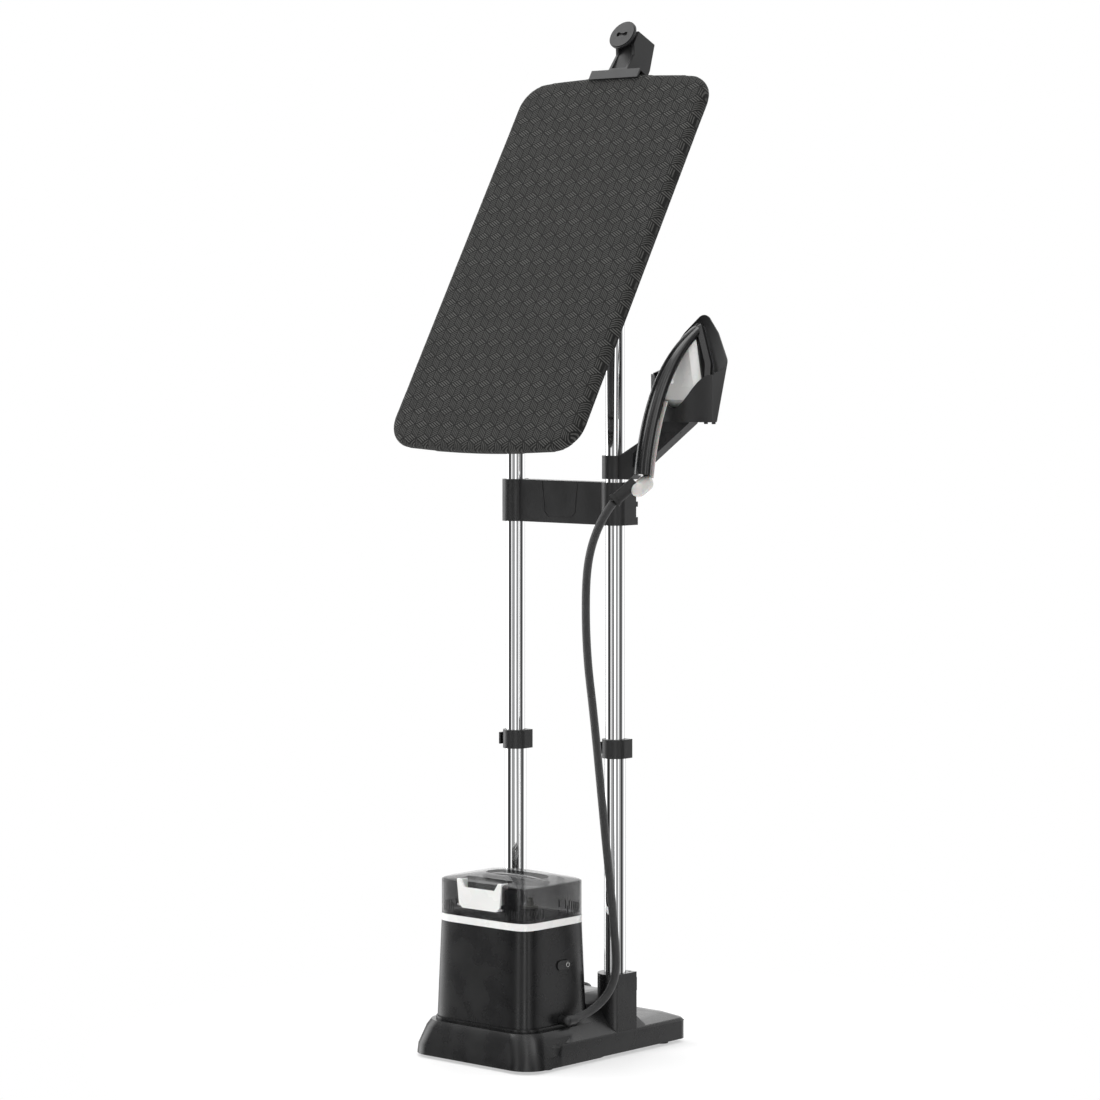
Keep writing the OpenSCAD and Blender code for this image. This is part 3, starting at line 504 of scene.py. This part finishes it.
def build_hoses():
    """The steam hose in two pieces that meet beside the mast: one to the base, one to the head."""
    low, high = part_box("lower_hose")
    top = Vector(((low.x + high.x) / 2, low.y, high.z))
    lower = centreline("lower_hose", top)
    upper = centreline("upper_hose", top)
    whole = resample(lower[::-1][:-2] + upper[2:], HOSE_STEP)
    turn = next(i for i, p in enumerate(whole) if p.z > HOSE_SPLIT and i > len(whole) // 4)
    paths = whole[:turn + 1], whole[turn:]
    for path, (name, node, bodies, (z0, z1)) in zip(paths, HOSE_PARTS):
        points, faces = tube_mesh(path, HOSE_RADIUS)
        piece = make(name, points, faces, MATERIALS["hose"])
        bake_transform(piece)
        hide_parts(node)


# ---------- board cover ----------

LOW, HIGH = in_board("board_cover")
HALF_W = float(HIGH[0])
CORNER = 50 * MM            # radius of the board's corners
BOW = 7 * MM                # how far its ends bow out
CORNER_STOP = 8             # degrees by which a corner's arc stops short of the bowed end


def outline(inset, steps=14):
    """The board's outline in its own frame: a rounded rectangle whose ends bow out."""
    x, z0, z1, r = HALF_W - inset, LOW[2] + inset, HIGH[2] - inset, CORNER - inset
    points = []

    def corner(cx, cz, a0, a1):
        for i in range(steps + 1):
            a = math.radians(a0 + (a1 - a0) * i / steps)
            points.append((cx + r * math.cos(a), cz + r * math.sin(a)))

    def end(z, way):
        for i in range(1, 2 * steps):
            t = 1 - i / steps
            points.append((way * (x - r) * t, z + way * BOW * (1 - t * t)))

    corner(x - r, z1 - BOW - r, 0, 90 - CORNER_STOP)
    end(z1 - BOW, 1)
    corner(r - x, z1 - BOW - r, 90 + CORNER_STOP, 180)
    corner(r - x, z0 + BOW + r, 180, 270 - CORNER_STOP)
    end(z0 + BOW, -1)
    corner(x - r, z0 + BOW + r, 270 + CORNER_STOP, 360)
    return points


EDGE = 7 * MM               # radius of the cover's rolled edges


def rounded_slab(front, back, shrink=0.0, edge=EDGE, steps=5):
    """A closed slab with the board's outline and a rolled edge round each face."""
    points, faces = [], []
    count = len(outline(0))
    arc = [math.radians(90 * i / steps) for i in range(steps + 1)]
    profile = [(front + edge * (1 - math.sin(a)), edge * (1 - math.cos(a))) for a in reversed(arc)]
    profile += [(back - edge * (1 - math.sin(a)), edge * (1 - math.cos(a))) for a in arc]
    rings = len(profile)
    for depth, inset in profile:
        points += [BOARD @ Vector((x, depth, z)) for x, z in outline(shrink + inset)]
    for i in range(rings - 1):
        for k in range(count):
            a, b = i * count + k, i * count + (k + 1) % count
            faces.append((a, b, b + count, a + count))
    faces.append(tuple(range(count - 1, -1, -1)))
    faces.append(tuple((rings - 1) * count + k for k in range(count)))
    return points, faces


CLOTH_FRAMES = 20


def puff(piece, cap, pressure=4.0):
    """Swells a closed shell by a short cloth simulation that moves no point further than cap."""
    scene = bpy.context.scene
    rest = np.array([v.co for v in piece.data.vertices])
    cloth = piece.modifiers.new("cloth", "CLOTH")
    cloth.settings.quality = 6
    cloth.settings.use_pressure = True
    cloth.settings.uniform_pressure_force = pressure
    cloth.settings.tension_stiffness = 20
    cloth.settings.compression_stiffness = 20
    cloth.settings.bending_stiffness = 2
    cloth.settings.effector_weights.gravity = 0
    cloth.point_cache.frame_start, cloth.point_cache.frame_end = 1, CLOTH_FRAMES
    for step in range(1, CLOTH_FRAMES + 1):
        scene.frame_set(step)
    apply_modifiers(piece)
    moved = np.array([v.co for v in piece.data.vertices]) - rest
    size = np.linalg.norm(moved, axis=1, keepdims=True)
    moved *= np.minimum(1, cap / np.maximum(size, 1e-9))
    piece.data.vertices.foreach_set("co", (rest + moved).astype(np.float32).ravel())
    piece.data.update()
    scene.frame_set(1)


COVER_FRONT, COVER_BACK = LOW[1], HIGH[1]
SWELL = 1.4 * MM            # room that the simulation has to puff the cover up
CLOTH_THICKNESS = 0.9 * MM
HEM_REACH = 34 * MM         # how far the cover wraps round behind the board
HEM_DEPTH = 4 * MM          # the opening is cut this far behind the board's middle plane
GATHER_WIDTH = 16 * MM      # band outside the opening's edge that the elastic gathers
GATHER_DEPTH = 0.5 * MM
GATHERS = 110               # puckers round the opening
OPENING_X = HALF_W - HEM_REACH
OPENING_Z = LOW[2] + HEM_REACH, HIGH[2] - HEM_REACH
OPENING_MIDDLE = (OPENING_Z[0] + OPENING_Z[1]) / 2
OPENING_HALF = (OPENING_Z[1] - OPENING_Z[0]) / 2
OPENING_R = CORNER * 0.6
ELASTIC_R = 1.9             # millimetres, as is its ripple
ELASTIC_RIPPLE = 0.25
ELASTIC_STEPS = 220


def opening_depth(p):
    """Distance of a point inside the edge of the cover's opening, negative outside it."""
    x = abs(p.x) - (OPENING_X - OPENING_R)
    z = abs(p.z - OPENING_MIDDLE) - (OPENING_HALF - OPENING_R)
    outside = math.hypot(max(x, 0), max(z, 0)) + min(max(x, z), 0)
    return OPENING_R - outside


def open_back(mesh):
    """Cuts the opening behind: the faces inside the hem go, and the hem's edge is gathered."""
    to_board = BOARD.inverted()
    shell = bmesh.new()
    shell.from_mesh(mesh)
    local = {v: to_board @ v.co for v in shell.verts}
    behind = (COVER_FRONT + COVER_BACK) / 2 + HEM_DEPTH
    gone = [f for f in shell.faces
            if all(local[v].y > behind and opening_depth(local[v]) > 0 for v in f.verts)]
    bmesh.ops.delete(shell, geom=gone, context="FACES")
    normal = BOARD.to_3x3() @ Vector((0, 1, 0))
    for v in shell.verts:
        p = local[v]
        near = 1 + opening_depth(p) / GATHER_WIDTH
        if p.y > behind and near > 0:
            turn = math.atan2(p.z, p.x * 1.7)
            v.co += normal * (GATHER_DEPTH * near * (math.sin(turn * GATHERS) - 0.8))
    shell.to_mesh(mesh)
    shell.free()


def build_cover():
    """The padded cover: a taut woven front with rolled edges, and a gathered hem behind."""
    points, faces = rounded_slab(COVER_FRONT + SWELL, COVER_BACK, SWELL)
    cover = make("board_cover_fabric", points, faces, MATERIALS["board_fabric"])
    remesh = cover.modifiers.new("remesh", "REMESH")
    remesh.mode = "VOXEL"
    remesh.voxel_size = 4 * MM
    apply_modifiers(cover)
    puff(cover, SWELL)
    ease = cover.modifiers.new("ease", "SMOOTH")
    ease.factor, ease.iterations = 0.5, 3
    grow = cover.modifiers.new("fine", "SUBSURF")
    grow.levels = grow.render_levels = 1
    apply_modifiers(cover)
    open_back(cover.data)
    set_smooth(cover.data)
    cloth_wall = cover.modifiers.new("wall", "SOLIDIFY")
    cloth_wall.thickness = CLOTH_THICKNESS
    cloth_wall.offset = -1
    apply_modifiers(cover)
    set_smooth(cover.data)
    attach(cover, "board")
    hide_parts("board_cover")


def build_felt():
    """The felt core, with softened edges that follow the inside of the cover."""
    points, faces = rounded_slab(COVER_FRONT + 3.4 * MM, COVER_BACK - 8.3 * MM, 6 * MM, 4 * MM)
    felt = make("board_pad_felt", points, faces, MATERIALS["felt"], "board")
    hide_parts("board_pad")


def build_elastic():
    """The elastic casing round the cover's opening."""
    ring = []
    for i in range(ELASTIC_STEPS + 1):
        a = 2 * math.pi * i / ELASTIC_STEPS
        c, s = math.cos(a), math.sin(a)
        low_reach, high_reach = 0.0, 1.0
        for _ in range(30):
            reach = (low_reach + high_reach) / 2
            if opening_depth(Vector((reach * c, 0, OPENING_MIDDLE + reach * s))) > 0:
                low_reach = reach
            else:
                high_reach = reach
        ring.append(BOARD @ Vector((reach * c, COVER_BACK - ELASTIC_R * MM,
                                    OPENING_MIDDLE + reach * s)))
    points, faces = tube_mesh(
        ring, lambda i: (ELASTIC_R + ELASTIC_RIPPLE * math.sin(i * 2.1)) * MM, 10)
    make("cover_elastic", points, faces, HEM, "board")


# ---------- small details ----------

MARK_RADIUS = 3.4 * MM
MARK_STROKE = 0.32 * MM     # half the stroke of the symbol


def build_power_mark():
    """Generic on/off symbol on the power button: an open ring and a bar."""
    low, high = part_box("power_button")
    centre = Vector((high.x + 0.1 * MM, high.y - 7.4 * MM, (low.z + high.z) / 2))
    ring = [centre + Vector((0, math.sin(a), math.cos(a))) * MARK_RADIUS
            for a in (math.radians(35 + 290 * i / 40) for i in range(41))]
    points, faces = tube_mesh(ring, MARK_STROKE, 10)
    make("power_mark_ring", points, faces, MARK, "button")
    bar = [centre + Vector((0, 0, z * MM)) for z in (0.6, 1.6, 2.6, 3.6, 4.3)]
    points, faces = tube_mesh(bar, MARK_STROKE, 10)
    make("power_mark_bar", points, faces, MARK, "button")


RIB_COUNT = 76              # places round the tank, some of which the filler recess takes
RIB_INSET = 3.6 * MM        # from the outside of the tank to the middle of a rib
RIB_LIFT, RIB_HEIGHT = 4 * MM, 13 * MM
RIB_HALF = 0.7 * MM, 0.6 * MM       # half a rib's width and depth
RECESS_HALF = 56 * MM       # half the width of the filler recess
SQUARENESS = 7              # exponent of the rounded square that the ribs stand on
BOX_FACES = ((0, 1, 2, 3), (4, 5, 6, 7), (0, 1, 5, 4), (1, 2, 6, 5), (2, 3, 7, 6), (3, 0, 4, 7))


def build_tank_ribs():
    """Short stiffening ribs round the inside of the tank, just above its floor."""
    low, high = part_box("water_tank")
    middle = (low + high) / 2
    half_x, half_y = ((high[k] - low[k]) / 2 - RIB_INSET for k in range(2))
    wide, deep = RIB_HALF
    z0 = low.z + RIB_LIFT
    points, faces = [], []
    for i in range(RIB_COUNT):
        a = 2 * math.pi * (i + 0.5) / RIB_COUNT
        c, t = math.cos(a), math.sin(a)
        spot = Vector((math.copysign(half_x * abs(c) ** (2 / SQUARENESS), c),
                       math.copysign(half_y * abs(t) ** (2 / SQUARENESS), t), 0))
        if spot.y < 0 and abs(spot.x) < RECESS_HALF:
            continue
        normal = Vector((math.copysign(abs(spot.x / half_x) ** (SQUARENESS - 1) / half_x, c),
                         math.copysign(abs(spot.y / half_y) ** (SQUARENESS - 1) / half_y, t),
                         0)).normalized()
        side = Vector((-normal.y, normal.x, 0))
        base = len(points)
        for z in (z0, z0 + RIB_HEIGHT):
            foot = Vector((middle.x + spot.x, middle.y + spot.y, z))
            for u, v in ((-wide, -deep), (wide, -deep), (wide, deep), (-wide, deep)):
                points.append(foot + side * u + normal * v)
        faces += [tuple(base + k for k in face) for face in BOX_FACES]
    make("tank_ribs", points, faces, RIB, "tank", smooth=False)


# ---------- stage ----------

CAMERA_SPOT = Vector((3.6564, -4.1711, 1.1086))
CAMERA_TURN = math.radians(41.815)
CAMERA_SENSOR, CAMERA_LENS = 36, 117.1
CAMERA_SHIFT = -0.1956
FLOOR_REACH = 14.0
PAPER = (0.93, 0.93, 0.93, 1)
WHITE = (1, 1, 1, 1)
LAMPS = (                   # name, place, size, power
    ("key", (-1.6, -2.2, 2.6), 1.6, 24),
    ("fill", (2.6, -0.8, 2.2), 1.8, 9),
    ("top", (0, 0.2, 3.4), 2.0, 18),
)
LAMPS_AIM = Vector((0, 0, 0.7))
ROOM_LEVEL = 0.34           # what reflections see between the panels
PANELS = (                  # azimuth, half width and soft edge in degrees, then brightness
    (-78.0, 20, 12, 2.2), (-6.0, 4, 2, 1.3), (42.0, 7, 4, 1.5),
    (82.0, 5, 2, 1.0), (162.0, 18, 10, 1.1), (-140.0, 16, 8, 1.2),
)
FLAGS = ((-32.0, 12, 6), (116.0, 9, 4))     # azimuth, half width and soft edge in degrees
FLAG_DEPTH = 0.95
OVERHEAD = 0.5              # brightness of the panel overhead


def place_camera(scene):
    camera = bpy.data.objects.new("camera", bpy.data.cameras.new("camera"))
    scene.collection.objects.link(camera)
    camera.location = CAMERA_SPOT
    camera.rotation_euler = (math.radians(90), 0, CAMERA_TURN)
    camera.data.sensor_width = CAMERA_SENSOR
    camera.data.lens = CAMERA_LENS
    camera.data.shift_y = CAMERA_SHIFT
    scene.camera = camera
    scene.view_settings.view_transform = "Standard"


def lay_floor(scene):
    """Pale paper that fades to white away from the object, and that reflections do not see."""
    floor = bpy.data.objects.new("floor", bpy.data.meshes.new("floor"))
    scene.collection.objects.link(floor)
    signs = ((-1, -1), (1, -1), (1, 1), (-1, 1))
    corners = [(x * FLOOR_REACH, y * FLOOR_REACH, 0) for x, y in signs]
    floor.data.from_pydata(corners, [], [(0, 1, 2, 3)])
    material = bpy.data.materials.new("floor")
    material.use_nodes = True
    g = Graph(material.node_tree)
    paper = g.add("ShaderNodeBsdfDiffuse")
    paper.inputs["Color"].default_value = PAPER
    glow = g.add("ShaderNodeEmission")
    glow.inputs["Color"].default_value = WHITE
    x, y = g.place()[:2]
    away = g.math("SQRT", g.math("ADD", g.math("MULTIPLY", x, x), g.math("MULTIPLY", y, y)))
    fade = g.smooth(away, 0.2, 0.8, 0.5, 1.0)
    seen = g.add("ShaderNodeLightPath").outputs["Is Camera Ray"]
    blend = g.add("ShaderNodeMixShader")
    g.put(blend.inputs[0], g.math("MULTIPLY", fade, seen))
    g.put(blend.inputs[1], paper.outputs[0])
    g.put(blend.inputs[2], glow.outputs[0])
    g.put(g.add("ShaderNodeOutputMaterial").inputs["Surface"], blend.outputs[0])
    floor.data.materials.append(material)
    floor.visible_glossy = False


def build_room(scene):
    """The camera sees plain white; reflections see a studio of soft panels and two dark flags."""
    world = bpy.data.worlds.new("studio")
    scene.world = world
    world.use_nodes = True
    g = Graph(world.node_tree, "Generated")
    x, y, z = g.place()[:3]
    turn = g.math("ARCTAN2", x, g.math("MULTIPLY", y, -1.0))
    azimuth = g.math("MULTIPLY", turn, 180 / math.pi)

    def panel(centre, half, soft):
        off = g.math("ABSOLUTE", g.math("WRAP", g.math("SUBTRACT", azimuth, centre), 180.0, -180.0))
        return g.smooth(off, half + soft, max(half - soft, 0))

    level = ROOM_LEVEL
    for *place, gain in PANELS:
        level = g.math("ADD", level, g.math("MULTIPLY", panel(*place), gain))
    for place in FLAGS:
        left = g.math("SUBTRACT", 1.0, g.math("MULTIPLY", panel(*place), FLAG_DEPTH))
        level = g.math("MULTIPLY", level, left)
    level = g.math("ADD", level, g.math("MULTIPLY", g.smooth(z, 0.45, 0.85), OVERHEAD))
    seen = g.add("ShaderNodeLightPath").outputs["Is Camera Ray"]
    shown = g.math("ADD", seen, g.math("MULTIPLY", g.math("SUBTRACT", 1.0, seen), level))
    sky = g.add("ShaderNodeBackground")
    sky.inputs["Color"].default_value = WHITE
    g.put(sky.inputs["Strength"], shown)
    g.put(g.add("ShaderNodeOutputWorld").inputs["Surface"], sky.outputs[0])


def hang_lamps(scene):
    for name, spot, size, power in LAMPS:
        lamp = bpy.data.lights.new(name, "AREA")
        lamp.shape = "DISK"
        lamp.size, lamp.energy = size, power
        holder = bpy.data.objects.new(name, lamp)
        scene.collection.objects.link(holder)
        holder.location = spot
        aim = LAMPS_AIM - Vector(spot)
        holder.rotation_euler = aim.to_track_quat("-Z", "Y").to_euler()


def build_stage():
    scene = bpy.context.scene
    place_camera(scene)
    lay_floor(scene)
    build_room(scene)
    hang_lamps(scene)


dress_cad_nodes()
build_cover()
build_felt()
build_elastic()
build_hoses()
build_power_mark()
build_tank_ribs()
build_stage()
